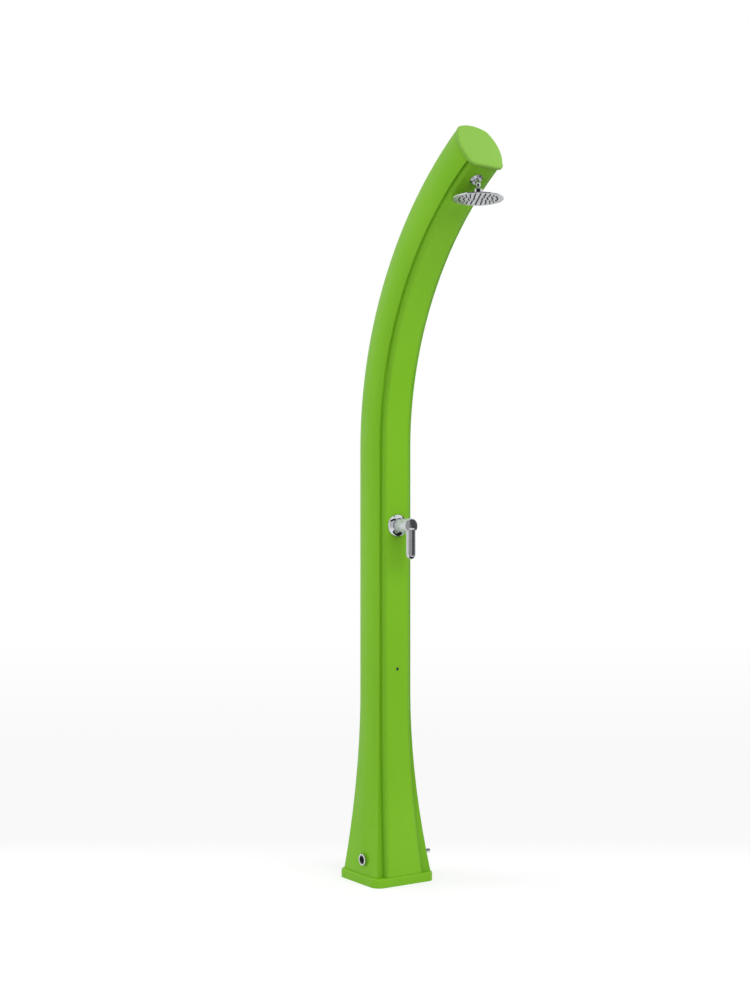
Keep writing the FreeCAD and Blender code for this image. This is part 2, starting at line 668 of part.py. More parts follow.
def foot():
    body = new_body("foot")
    base = new_sketch(body, "foot_outline")
    rounded_box(base, "foot_half_x", "foot_half_y", "foot_corner")
    pad(body, base, "foot_tall")
    top = value("foot_tall")
    round_edges(body, "foot_round", lambda edge: min(v.Z for v in edge.Vertexes) > top - 0.01)
    under = new_sketch(body, "foot_hollow")
    rounded_box(under, "foot_half_x - foot_skirt", "foot_half_y - foot_skirt",
                "foot_corner - foot_skirt")
    pocket(body, under, "foot_tall - foot_deck", reverse=True)
    holes = new_sketch(body, "foot_bolt_holes", offset="foot_tall - foot_deck")
    for side in (-1, 1):
        for end in (-1, 1):
            circle(holes, "%d * bolt_x" % side, "%d * bolt_y" % end, "bolt_r + play")
    pocket(body, holes, "foot_deck", reverse=True)
    locks = [cylinder("lock_hole", "lock_r + play", "2 * foot_skirt", "%d * lock_x" % side,
                      "foot_half_y + foot_skirt / 2", "lock_up", AXIS_X, 90) for side in (-1, 1)]
    slot = box("tongue_slot", ("tongue_wide + 2 * play", "tongue_deep + 1 + play", "tongue_thick + 2 * play"),
               ("-tongue_wide / 2 - play", "-foot_half_y + foot_skirt - tongue_deep - play",
                "plate_thick - play"))
    node(cut("foot_cut", body, slot, *locks), "foot_flange")

    bolts = []
    inserts = []
    for side in (-1, 1):
        for end in (-1, 1):
            x, y = "%d * bolt_x" % side, "%d * bolt_y" % end
            head_low = "foot_tall - foot_deck - bolt_r * 1.3"
            head = hexagon("bolt_head", "bolt_r * 3.25", None, 0, "bolt_r * 1.3")
            place(head, x, y, head_low)
            shank = rod("bolt_shank", "bolt_r - seat", "bolt_r", "bolt_r * 1.3 + bolt_long")
            place(shank, x, y, head_low)
            bolts.append(fuse("foot_bolt", head, shank))
            insert = ring("insert", "bolt_r", "insert_r", 0, "insert_long")
            place(insert, x, y, "foot_tall")
            inserts.append(insert)
    group("foot_bolts", bolts)
    group("floor_inserts", inserts)


def ground_plate():
    """Steel plate that is anchored to the ground before the post goes over it."""
    body = new_body("ground")
    base = new_sketch(body, "plate_outline")
    gap = "(foot_skirt + plate_gap)"
    rounded_box(base, "foot_half_x - %s" % gap, "foot_half_y - %s" % gap, "foot_corner - %s" % gap)
    for side in (-1, 1):
        for end in (-1, 1):
            circle(base, "%d * anchor_x" % side, "%d * anchor_y" % end, "anchor_r")
    pad(body, base, "plate_thick")
    back = "foot_half_y - foot_skirt - play"
    tabs = [box("lock_tab", ("tab_wide", "tab_thick", "tab_tall - plate_thick / 2"),
                ("%d * lock_x - tab_wide / 2" % side, "%s - tab_thick" % back, "plate_thick / 2"))
            for side in (-1, 1)]
    tongue = box("tongue", ("tongue_wide", "4 * tongue_deep", "tongue_thick"),
                 ("-tongue_wide / 2", "-foot_half_y + foot_skirt - tongue_deep", "plate_thick"))
    holes = [cylinder("lock_thread", "lock_r", "2 * foot_skirt + tab_thick", "%d * lock_x" % side,
                      "foot_half_y", "lock_up", AXIS_X, 90) for side in (-1, 1)]
    node(cut("ground_cut", fuse("ground_solid", body, tongue, *tabs), *holes), "base_plate")
    screws = []
    for side in (-1, 1):
        screw = turned("lock", [(0, "-foot_skirt - tab_thick"), ("lock_r - seat", "-foot_skirt - tab_thick"),
                                ("lock_r - seat", 0), ("lock_r * 1.75", 0),
                                ("lock_r * 1.75", "lock_r * 0.35"), ("lock_r * 1.1", "lock_r * 0.85"),
                                ("lock_r * 0.6", "lock_r * 0.85"), ("lock_r * 0.6", "seat"), (0, "seat")])
        place(screw, "%d * lock_x" % side, "foot_half_y", "lock_up", AXIS_X * -1, 90)
        screws.append(screw)
    group("lock_screws", screws)


# ---------------------------------------------------------------- water inlets

def inlet_socket(label, side):
    flange = "(pad_face + socket_gasket)"
    face = "(%s + socket_thick)" % flange
    body = turned(label, [
        ("thread_r", face), ("socket_r - 1.5", face), ("socket_r", "%s - 1.5" % face),
        ("socket_r", flange), ("shank_r", flange), ("shank_r", "shank_end"),
        ("water_r", "shank_end"), ("water_r", "%s - thread_deep" % face),
        ("thread_r", "%s - thread_deep" % face),
    ])
    on_side(body, side)
    node(body, label)


def inlets():
    inlet_socket("inlet_socket_left", -1)
    inlet_socket("inlet_socket_right", 1)
    gaskets = []
    nuts = []
    for side in (-1, 1):
        gasket = ring("gasket", "shank_r", "socket_r - 0.5", "pad_face", "pad_face + socket_gasket")
        on_side(gasket, side)
        gaskets.append(gasket)
        nut = hexagon("locknut", "nut_flats", "shank_r + seat", "pad_inner - nut_thick", "pad_inner")
        on_side(nut, side)
        nuts.append(nut)
    group("inlet_gaskets", gaskets)
    group("inlet_locknuts", nuts)

    seat = "(pad_face + socket_gasket + socket_thick)"
    washer = ring("washer", "thread_r", "nipple_hex / 2 - 0.5", seat, "%s + socket_gasket" % seat)
    on_side(washer, 1)
    node(washer, "nipple_seal")
    hex_low = "(%s + socket_gasket)" % seat
    hex_high = "(%s + nipple_hex_thick)" % hex_low
    collar = hexagon("nipple_hexagon", "nipple_hex", "nipple_bore", hex_low, hex_high)
    stem = turned("nipple_stem", [
        ("nipple_bore", "%s - thread_deep + 4" % seat), ("thread_r - seat", "%s - thread_deep + 4" % seat),
        ("thread_r - seat", "%s + 1" % hex_low), ("nipple_r", "%s + 1" % hex_low),
        ("nipple_r", "nipple_end - 24"), ("nipple_r - nipple_groove", "nipple_end - 23"),
        ("nipple_r - nipple_groove", "nipple_end - 19"), ("nipple_r", "nipple_end - 18"),
        ("nipple_r", "nipple_end - 2"), ("nipple_r - 1.5", "nipple_end"), ("nipple_bore", "nipple_end"),
    ])
    on_side(collar, 1)
    on_side(stem, 1)
    node(fuse("nipple", collar, stem), "hose_nipple")


def manifold():
    """Brass tube between the inlets, with a stub for the mixer and one that
    fills the tank through a non-return valve."""
    outer = turned("manifold_tube", [
        (0, "-cup_end"), ("cup_r", "-cup_end"), ("cup_r", "-cup_end + cup_deep"),
        ("manifold_r", "-cup_end + cup_deep + 4"), ("manifold_r", "cup_end - cup_deep - 4"),
        ("cup_r", "cup_end - cup_deep"), ("cup_r", "cup_end"), (0, "cup_end"),
    ])
    bore = turned("manifold_bore", [
        (0, "-cup_end - 1"), ("shank_r + seat", "-cup_end - 1"), ("shank_r + seat", "-shank_end"),
        ("water_r", "-shank_end"), ("water_r", "shank_end"), ("shank_r + seat", "shank_end"),
        ("shank_r + seat", "cup_end + 1"), (0, "cup_end + 1"),
    ])
    for thing in (outer, bore):
        on_side(thing, 1)
    stubs = []
    drills = []
    for x, tall in (("-port_x", "port_tall"), ("fill_x", "port_tall - 8")):
        stubs.append(cylinder("stub", "port_r", tall, x, "feed_back", "feed_up"))
        drills.append(cylinder("drill", "hose_bore", "%s + 1" % tall, x, "feed_back", "feed_up"))
    node(cut("manifold", fuse("manifold_solid", outer, *stubs), bore, *drills), "feed_manifold")
    valve = turned("valve", [
        ("hose_bore", 0), ("valve_r", 0), ("valve_r", "valve_tall - 5"), ("valve_r - 3", "valve_tall"),
        ("hose_bore - 1.5", "valve_tall"), ("hose_bore - 1.5", "valve_tall - 6"),
        ("hose_bore", "valve_tall - 9"),
    ])
    place(valve, "fill_x", "feed_back", "feed_up + port_tall - 8")
    node(valve, "fill_valve")


# ----------------------------------------------------------------------- hoses

def hose(label, x, steps):
    """A hose in a plane across X. It starts upwards, and its steps are (y, z)."""
    body = new_body(label)
    rim = new_sketch(body, label + "_rim", offset=steps[0][1])
    circle(rim, x, steps[0][0], "hose_r")
    circle(rim, x, steps[0][0], "hose_bore")
    route = new_sketch(body, label + "_route", "YZ_Plane", offset=x)
    outline(route, steps, closed=False)
    pipe = body.newObject("PartDesign::AdditivePipe", "Run")
    pipe.Profile = rim
    pipe.Spine = (route, [])
    pipe.Transition = 0
    node(body, label)


def polar(radial, turn):
    """(y, z) of a point on the column's curve by its distance from the bend centre."""
    return ("(-bend_radius + (%s) * cos(%s))" % (radial, turn),
            "(bend_start + (%s) * sin(%s))" % (radial, turn))


def hoses():
    centre = ("-bend_radius", "bend_start")
    hose("cold_hose", "-port_x", [("feed_back", "feed_up + port_tall"),
                                  ("feed_back", "mixer_up - port_reach")])
    low = "(mixer_up - port_reach - hot_drop)"
    half = "((hot_back - feed_back) / 2)"
    middle = "(feed_back + %s)" % half
    rear = "(bend_radius + hot_back)"
    hose("hot_hose", "port_x", [
        ("feed_back", "mixer_up - port_reach"), ("feed_back", low),
        (middle, "%s - %s" % (low, half), half, middle, low),
        ("hot_back", low, half, middle, low),
        ("hot_back", "bend_start"),
        polar(rear, "hot_top") + (rear,) + centre,
    ])
    # the riser follows the curve and elbows into the inner end of the arm
    inner = "(bend_radius + feed_back)"
    hub = "(%s - elbow_r)" % inner
    sine = "(elbow_r / %s)" % hub
    turn_end = "(arm_station - asin(%s) / 1deg)" % sine
    hose("riser_hose", "0", [
        ("feed_back", "mixer_up + port_reach"), ("feed_back", "bend_start"),
        polar(inner, turn_end) + (inner,) + centre,
        polar("%s * sqrt(1 - %s ^ 2)" % (hub, sine), "arm_station") + ("elbow_r",) + polar(hub, turn_end),
        polar("bend_radius - panel_face + arm_in", "arm_station"),
    ])
    nuts = []
    for x, z in (("-port_x", "feed_up + port_tall"), ("-port_x", "mixer_up - port_reach"),
                 ("port_x", "mixer_up - port_reach"), ("0", "mixer_up + port_reach")):
        nut = hexagon("hose_nut", "hose_nut_flats", "port_r + seat", "-hose_nut_long / 2",
                      "hose_nut_long / 2")
        place(nut, x, "feed_back", z)
        nuts.append(nut)
    nut = hexagon("hose_nut", "hose_nut_flats", "port_r + seat", "-arm_in - hose_nut_long / 2",
                  "-arm_in + hose_nut_long / 2")
    on_curve(nut, "arm_station")
    nuts.append(nut)
    group("hose_nuts", nuts)


# ----------------------------------------------------------------------- mixer

def mixer():
    inside = "(-wall - gasket_thick)"
    block = turned("block", [
        (0, "-block_back"), ("block_r - 2", "-block_back"), ("block_r", "-block_back + 2"),
        ("block_r", "%s - collar_thick" % inside), ("collar_r", "%s - collar_thick" % inside),
        ("collar_r", inside), ("neck_r", inside), ("neck_r", "neck_end"),
        ("cartridge_r + seat", "neck_end"), ("cartridge_r + seat", "cartridge_back"),
        (0, "cartridge_back"),
    ])
    on_panel(block, "mixer_up")
    stubs = []
    drills = []
    for x, way in (("-port_x", 180), ("port_x", 180), ("0", 0)):
        stubs.append(cylinder("mixer_stub", "port_r", "port_reach", x, "feed_back", "mixer_up", AXIS_X, way))
        drills.append(cylinder("mixer_drill", "hose_bore", "port_reach + 1", x, "feed_back", "mixer_up",
                               AXIS_X, way))
    node(cut("mixer", fuse("mixer_solid", block, *stubs), *drills), "mixer_body")
    gasket = ring("mixer_washer", "neck_r + seat", "collar_r - 1", inside, "-wall")
    locknut = hexagon("mixer_nut", "ring_flats", "neck_r + seat", 0, "ring_thick")
    cover = turned("rose", [
        ("sleeve_r + seat", "rose_end"), ("sleeve_r + 3", "rose_end"),
        ("rose_r", "rose_rim", "1.35 * (rose_r - sleeve_r)", "sleeve_r - 1", "rose_rim - 8"),
        ("rose_r", 0), ("rose_r - rose_wall", 0), ("rose_r - rose_wall", "rose_rim - 0.5"),
        ("sleeve_r + 3", "rose_end - rose_wall", "1.35 * (rose_r - sleeve_r)",
         "sleeve_r - 3", "rose_rim - 9"),
        ("sleeve_r + seat", "rose_end - rose_wall"),
    ])
    mouth = "(pivot_at + sqrt(sleeve_r ^ 2 - dome_mouth ^ 2))"
    mouth_in = "(pivot_at + sqrt((sleeve_r - sleeve_wall) ^ 2 - dome_mouth ^ 2))"
    sleeve = turned("sleeve", [
        ("sleeve_r - sleeve_wall", "rose_end - 3"), ("sleeve_r", "rose_end - 3"), ("sleeve_r", "pivot_at"),
        ("dome_mouth", mouth, "sleeve_r", 0, "pivot_at"), ("dome_mouth", mouth_in),
        ("sleeve_r - sleeve_wall", "pivot_at", "sleeve_r - sleeve_wall", 0, "pivot_at"),
    ])
    cartridge = turned("cartridge", [
        (0, "cartridge_back"), ("cartridge_r", "cartridge_back"), ("cartridge_r", "cartridge_end"),
        ("cartridge_top_r", "cartridge_end"), ("cartridge_top_r", "cartridge_top"),
        ("carrier_r + seat", "cartridge_top"), ("carrier_r + seat", "carrier_back - play"),
        (0, "carrier_back - play"),
    ])
    nut_r = "(sleeve_r - sleeve_wall - seat)"
    nut = turned("cartridge_ring", [
        ("neck_r + seat", "cartridge_end - 7.5"), (nut_r, "cartridge_end - 7.5"),
        (nut_r, "cartridge_end + 3.5"), ("cartridge_top_r + play", "cartridge_end + 3.5"),
        ("cartridge_top_r + play", "cartridge_end"), ("neck_r + seat", "cartridge_end"),
    ])
    for thing, label in ((gasket, "mixer_gasket"), (locknut, "mixer_locknut"), (cover, "escutcheon"),
                         (sleeve, "mixer_sleeve"), (cartridge, "cartridge_body"), (nut, "cartridge_nut")):
        on_panel(thing, "mixer_up")
        node(thing, label)


def cartridge_core():
    """Carrier that turns for temperature, with the pin that the spindle lifts on."""
    drum = rod("carrier_drum", "carrier_r", "carrier_back", "carrier_end")
    slot = box("carrier_slot", ("2 * slot_half", "4 * carrier_r", "carrier_end"),
               ("-slot_half", "-2 * carrier_r", "slot_back"))
    hole = cylinder("pin_hole", "pin_r + seat", "4 * carrier_r", "-2 * carrier_r", 0, "pivot_at", AXIS_Y, 90)
    carrier = cut("carrier", drum, slot, hole)
    stem = box("spindle_stem", ("2 * spindle_half", "2 * spindle_half", "spindle_end - pivot_at"),
               ("-spindle_half", "-spindle_half", "pivot_at"))
    eye = cylinder("spindle_eye", "spindle_half", "2 * spindle_half", "-spindle_half", 0, "pivot_at",
                   AXIS_Y, 90)
    eye_hole = cylinder("eye_hole", "pin_r + seat", "4 * spindle_half", "-2 * spindle_half", 0,
                        "pivot_at", AXIS_Y, 90)
    spindle = cut("spindle", fuse("spindle_solid", stem, eye), eye_hole)
    for thing, label in ((carrier, "cartridge_carrier"), (spindle, "cartridge_spindle")):
        on_panel(thing, "mixer_up")
        node(thing, label)
    pin = rod("pin", "pin_r", "-carrier_r + 0.75", "carrier_r - 0.75")
    place(pin, 0, "-panel_face - pivot_at", "mixer_up", AXIS_Y, 90)
    node(pin, "pivot_pin")


def lever():
    """Head with a hollow that clears the dome, a boss on the spindle and a paddle."""
    hollow = "(sleeve_r + lever_gap)"
    rim = "sqrt(%s ^ 2 - (lever_back - pivot_at) ^ 2)" % hollow
    root = "(pivot_at + sqrt(%s ^ 2 - lever_boss_r ^ 2))" % hollow
    body = turned("lever", [
        ("lever_r", "lever_back"), ("lever_r", "lever_front - lever_round"),
        ("lever_r - lever_round", "lever_front", "lever_round", "lever_r - lever_round",
         "lever_front - lever_round"),
        ("badge_r", "lever_front"), ("badge_r", "lever_front - badge_deep"),
        (0, "lever_front - badge_deep"), (0, "lever_boss_back"), ("lever_boss_r", "lever_boss_back"),
        ("lever_boss_r", root), (rim, "lever_back", hollow, 0, "pivot_at"),
    ])
    paddle = new_body("paddle")
    blade = new_sketch(paddle, "paddle_outline", offset="paddle_back")
    bottom = "(-paddle_reach + paddle_half)"
    top = "(-lever_r / 2)"
    outline(blade, [
        ("paddle_half", bottom, "paddle_half", 0, bottom), ("paddle_half", top), ("-paddle_half", top),
        ("-paddle_half", bottom), (0, "-paddle_reach", "paddle_half", 0, bottom),
    ])
    pad(paddle, blade, "paddle_thick")
    front = value("paddle_back + paddle_thick")
    round_edges(paddle, "paddle_round", lambda edge: min(v.Z for v in edge.Vertexes) > front - 0.01)
    square = box("spindle_hole", ("2 * (spindle_half + seat)", "2 * (spindle_half + seat)",
                                  "spindle_end + play"),
                 ("-spindle_half - seat", "-spindle_half - seat", 0))
    tapped = cylinder("grub_hole", "grub_r", "2 * lever_r", 0, 0, "grub_at", AXIS_X * -1, 90)
    handle = cut("handle", fuse("handle_solid", body, paddle), square, tapped)
    grub = turned("grub", [
        (0, 0), ("grub_r - seat", 0), ("grub_r - seat", "grub_long"), ("grub_r / 2", "grub_long"),
        ("grub_r / 2", "grub_long - grub_r"), (0, "grub_long - grub_r"),
    ])
    place(grub, 0, "-panel_face - grub_at", "mixer_up + spindle_half + seat")
    badge = turned("badge", [
        (0, "lever_front - badge_deep"), ("badge_r - seat", "lever_front - badge_deep"),
        ("badge_r - seat", "lever_front - badge_deep + badge_thick / 2"),
        ("badge_r - 1", "lever_front - badge_deep + badge_thick"),
        (0, "lever_front - badge_deep + badge_thick"),
    ])
    for thing in (handle, badge):
        on_panel(thing, "mixer_up")
    node(handle, "lever_handle")
    node(grub, "lever_grub_screw")
    node(badge, "lever_cap")


# ------------------------------------------------------------- overhead shower

# the arm leaves the panel square to it and bends to the vertical
ARM_TURN = "(90 - arm_station)"
ARM_END = ("(-arm_bend * (1 - cos(%s)))" % ARM_TURN, "(arm_out + arm_bend * sin(%s))" % ARM_TURN)
BALL_DROP = "(arm_drop + ball_neck_top)"
BALL_Y = ("(-bend_radius + (bend_radius - panel_face - %s) * cos(arm_station) - %s * sin(arm_station))"
          % (ARM_END[1], ARM_END[0]))
BALL_Z = ("(bend_start + (bend_radius - panel_face - %s) * sin(arm_station) + %s * cos(arm_station) - %s)"
          % (ARM_END[1], ARM_END[0], BALL_DROP))


def on_ball(thing):
    """Put a piece at the ball's centre, its Z axis up."""
    place(thing, 0, BALL_Y, BALL_Z)


def shower_arm():
    lift = "(1.1 * arm_rose_r ^ 2 / (2 * (bend_radius - panel_face)))"
    body = new_body("arm")
    rim = new_sketch(body, "arm_rim", offset="-arm_in")
    circle(rim, 0, 0, "arm_r")
    route = new_sketch(body, "arm_route", "YZ_Plane")
    outline(route, [
        (0, "-arm_in"), (0, "arm_out"),
        ARM_END + ("arm_bend", "-arm_bend", "arm_out"),
        ("%s - arm_drop * sin(%s)" % (ARM_END[0], ARM_TURN),
         "%s + arm_drop * cos(%s)" % (ARM_END[1], ARM_TURN)),
    ], closed=False)
    pipe = body.newObject("PartDesign::AdditivePipe", "Run")
    pipe.Profile = rim
    pipe.Spine = (route, [])
    flange = ring("arm_flange_ring", "arm_r / 2", "arm_flange_r", "arm_gasket + %s" % lift,
                  "arm_gasket + arm_flange + %s" % lift)
    for thing in (body, flange):
        on_curve(thing, "arm_station")
    low = "sqrt(ball_r ^ 2 - ball_neck_r ^ 2)"
    ball = turned("ball", [
        (0, "-ball_r"), ("ball_r", 0, "ball_r", 0, 0),
        ("ball_neck_r", low, "ball_r", 0, 0), ("ball_neck_r", "ball_neck_top - 2"),
        ("arm_r - 1.5", "ball_neck_top - 1.5"), ("arm_r", "ball_neck_top"), ("arm_r", "ball_neck_top + 0.5"),
        (0, "ball_neck_top + 0.5"),
    ])
    on_ball(ball)
    solid = fuse("arm_solid", body, flange, ball)
    inlet_bore = cylinder("arm_inlet_bore", "arm_bore", "arm_in + arm_out / 2")
    on_curve(inlet_bore, "arm_station", radial="bend_radius - panel_face + arm_in + 1")
    ball_bore = cylinder("ball_bore", "ball_neck_r - 1.5", "ball_r + ball_neck_top")
    place(ball_bore, 0, BALL_Y, "%s - ball_r - 1" % BALL_Z)
    node(cut("arm_hollow", solid, inlet_bore, ball_bore), "shower_arm")

    gasket = ring("arm_washer", "arm_r + seat", "arm_flange_r", lift, "arm_gasket + %s" % lift)
    locknut = hexagon("arm_nut", "arm_nut_flats", "arm_r + seat", "-wall - arm_nut_thick", "-wall")
    cover_in = "(arm_gasket + arm_flange + %s + play)" % lift
    cover_out = "(%s + head_wall)" % cover_in
    cover = turned("arm_cover", [
        ("arm_r + seat", cover_out), ("arm_flange_r + 2", cover_out),
        ("arm_rose_r", "%s + 1.2" % lift), ("arm_rose_r", lift), ("arm_rose_r - head_wall", lift),
        ("arm_rose_r - head_wall", "%s + 0.6" % lift), ("arm_flange_r + 1", cover_in),
        ("arm_r + seat", cover_in),
    ])
    for thing, label in ((gasket, "arm_gasket"), (locknut, "arm_locknut"), (cover, "shower_rosette")):
        on_curve(thing, "arm_station")
        node(thing, label)


def nozzle_places():
    places = [("0", "0")]
    for number in range(1, int(value("nozzle_rings")) + 1):
        count = number * int(value("nozzle_more"))
        for turn in range(count):
            degrees = 360.0 * turn / count
            places.append(("%d * nozzle_step * cos(%.6f)" % (number, degrees),
                           "%d * nozzle_step * sin(%.6f)" % (number, degrees)))
    return places


def shower_head():
    socket = "(ball_r + ball_gap)"
    seal_r = "(%s + seal_wall)" % socket
    cup_in = "(%s + play)" % seal_r
    seal = turned("seal_ring", [
        ("sqrt(%s ^ 2 - seal_top ^ 2)" % socket, "seal_top", socket, 0, 0),
        ("sqrt(%s ^ 2 - seal_top ^ 2)" % seal_r, "seal_top"),
        ("sqrt(%s ^ 2 - seal_low ^ 2)" % seal_r, "seal_low", seal_r, 0, 0),
        ("sqrt(%s ^ 2 - seal_low ^ 2)" % socket, "seal_low"),
    ])
    grip = "(ball_r + swivel_play)"
    lip = "(cup_top + swivel_play)"
    swivel = turned("swivel", [
        ("cup_outer + seat", "swivel_low"), ("cup_outer + seat", lip),
        ("sqrt(%s ^ 2 - %s ^ 2)" % (grip, lip), lip),
        ("sqrt(%s ^ 2 - swivel_top ^ 2)" % grip, "swivel_top", grip, 0, 0),
        ("swivel_r - 1", "swivel_top"), ("swivel_r", "swivel_top - 1"), ("swivel_r", "swivel_low"),
    ])
    bore = "(head_r - head_wall)"
    plate_low = "(head_face + rim_step)"
    plate_high = "(%s + face_thick)" % plate_low
    mat_high = "(%s + mat_thick)" % plate_high
    back = turned("head", [
        ("sqrt(%s ^ 2 - cup_top ^ 2)" % cup_in, "cup_top", cup_in, 0, 0),
        ("cup_outer", "cup_top"), ("cup_outer", "head_neck + 2"),
        ("cup_outer + 4", "head_neck"), ("head_r - 7", "head_shoulder"), ("head_r", "head_edge"),
        ("head_r", "head_face"), (bore, "head_face"), (bore, mat_high),
        ("%s - 3" % bore, mat_high), ("head_r - 9", "head_shoulder - head_wall"),
        ("cup_outer + 4", "head_neck - head_wall"), ("head_water", "head_neck - head_wall"),
        ("head_water", "-sqrt(%s ^ 2 - head_water ^ 2)" % cup_in),
    ])
    face = new_body("face")
    disc = new_sketch(face, "face_disc", offset=plate_low)
    circle(disc, 0, 0, "%s - seat" % bore)
    for x, y in nozzle_places():
        circle(disc, x, y, "nozzle_r + seat")
    pad(face, disc, "face_thick")
    mat = new_body("mat")
    sheet_disc = new_sketch(mat, "mat_disc", offset=plate_high)
    circle(sheet_disc, 0, 0, "%s - seat" % bore)
    pad(mat, sheet_disc, "mat_thick")
    nubs = new_sketch(mat, "nozzle_circles", offset="%s - nozzle_tall" % plate_low)
    for x, y in nozzle_places():
        circle(nubs, x, y, "nozzle_r")
    pad(mat, nubs, "nozzle_tall + face_thick + mat_thick / 2")
    for thing, label in ((seal, "ball_seal"), (swivel, "ball_collar"), (back, "head_back"),
                         (face, "head_face_plate"), (mat, "nozzle_mat")):
        on_ball(thing)
        node(thing, label)


def plug():
    body = turned("plug", [
        (0, "-plug_long"), ("plug_shank - 0.8", "-plug_long"), ("plug_shank", "-plug_long + 2"),
        ("plug_shank", 0), ("plug_r", 0), ("plug_r", "plug_tall / 2"), ("plug_r - 1", "plug_tall"),
        (0, "plug_tall"),
    ])
    on_panel(body, "plug_up")
    node(body, "blanking_plug")


# ------------------------------------------------------------------------ build

post_shell()
end_cap()
foot()
ground_plate()
inlets()
manifold()
hoses()
mixer()
cartridge_core()
lever()
shower_arm()
shower_head()
plug()
doc.recompute()

faults = []
for thing in doc.Objects:
    if "Invalid" in thing.State or "Error" in thing.State:
        faults.append("%s (%s): %s" % (thing.Label, thing.Name, ", ".join(thing.State)))
for label, thing in NODES.items():
    if thing.Label != label:
        faults.append("%s is labelled %s" % (label, thing.Label))
    if thing.Shape.isNull() or not thing.Shape.isValid() or not thing.Shape.Solids:
        faults.append("%s has no valid solid" % label)
if faults:
    raise RuntimeError("The part did not build: " + "; ".join(faults))

os.makedirs("parts", exist_ok=True)
for label, thing in NODES.items():
    thing.Shape.exportStep("parts/%s.step" % label)
print("%d sub-parts" % len(NODES))
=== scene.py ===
import json
import math

import bmesh
import bpy
from mathutils import Matrix, Vector


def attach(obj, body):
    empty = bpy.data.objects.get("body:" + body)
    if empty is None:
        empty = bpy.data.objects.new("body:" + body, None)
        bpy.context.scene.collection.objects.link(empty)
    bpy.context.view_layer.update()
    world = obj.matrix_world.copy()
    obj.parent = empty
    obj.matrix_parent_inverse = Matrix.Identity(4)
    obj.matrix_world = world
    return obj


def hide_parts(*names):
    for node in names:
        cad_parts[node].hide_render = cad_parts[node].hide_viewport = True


# Looks for the outdoor shower post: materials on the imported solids, a detailed
# lever and water inlet, a plain studio and the photograph's camera. Metres, in
# the frame of the solids: the origin is the middle of the foot on the ground,
# +Z is up and the front panel faces -Y.

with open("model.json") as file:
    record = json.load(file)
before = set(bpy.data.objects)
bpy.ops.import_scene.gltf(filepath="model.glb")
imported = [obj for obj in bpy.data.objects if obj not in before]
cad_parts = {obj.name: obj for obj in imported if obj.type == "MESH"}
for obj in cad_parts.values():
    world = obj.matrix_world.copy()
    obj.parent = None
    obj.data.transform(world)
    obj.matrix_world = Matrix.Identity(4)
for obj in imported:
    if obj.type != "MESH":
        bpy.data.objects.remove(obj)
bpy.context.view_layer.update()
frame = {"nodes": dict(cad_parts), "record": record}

# ---------------------------------------------------------------------- camera

IMAGE_HEIGHT_PX = 1000        # the photograph is 750 x 1000
FOCAL_PX = 1385.0             # focal length in its pixels
HORIZON_PX = 556.1            # its horizon, from the top
VIEW_TURN = math.radians(33.38)   # the camera stands this far round to -X
VIEW_DISTANCE = 4.2605        # from the post's axis, along the view
VIEW_SIDE = -0.0358           # camera to the right of the axis
VIEW_HEIGHT = 0.990

view_forward = Vector((math.sin(VIEW_TURN), math.cos(VIEW_TURN), 0))
view_right = Vector((math.cos(VIEW_TURN), -math.sin(VIEW_TURN), 0))


def add_camera():
    """A level camera whose lens is shifted up, as the photograph's was."""
    data = bpy.data.cameras.new("camera")
    data.sensor_fit = "VERTICAL"
    data.sensor_height = 36.0
    data.lens = data.sensor_height * FOCAL_PX / IMAGE_HEIGHT_PX
    data.shift_y = (HORIZON_PX - IMAGE_HEIGHT_PX / 2) / IMAGE_HEIGHT_PX
    camera = bpy.data.objects.new("camera", data)
    camera.location = view_right * VIEW_SIDE - view_forward * VIEW_DISTANCE
    camera.location.z = VIEW_HEIGHT
    camera.rotation_euler = (math.pi / 2, 0, -VIEW_TURN)
    bpy.context.collection.objects.link(camera)
    bpy.context.scene.camera = camera


# ------------------------------------------------------------------- materials

def srgb(red, green, blue):
    """A colour written as 0 to 255 display values, as the shaders need it."""
    def linear(value):
        value /= 255
        return value / 12.92 if value <= 0.04045 else ((value + 0.055) / 1.055) ** 2.4
    return (linear(red), linear(green), linear(blue), 1)


WHITE = srgb(255, 255, 255)
SATIN_AND_SHEEN_METAL = 0.25            # how metallic the satin sleeve of the mixer is; on the lever's sides it gives a painted sheen
MIX_A, MIX_B, MIX_RESULT = 6, 7, 2    # a Mix node's sockets for colours


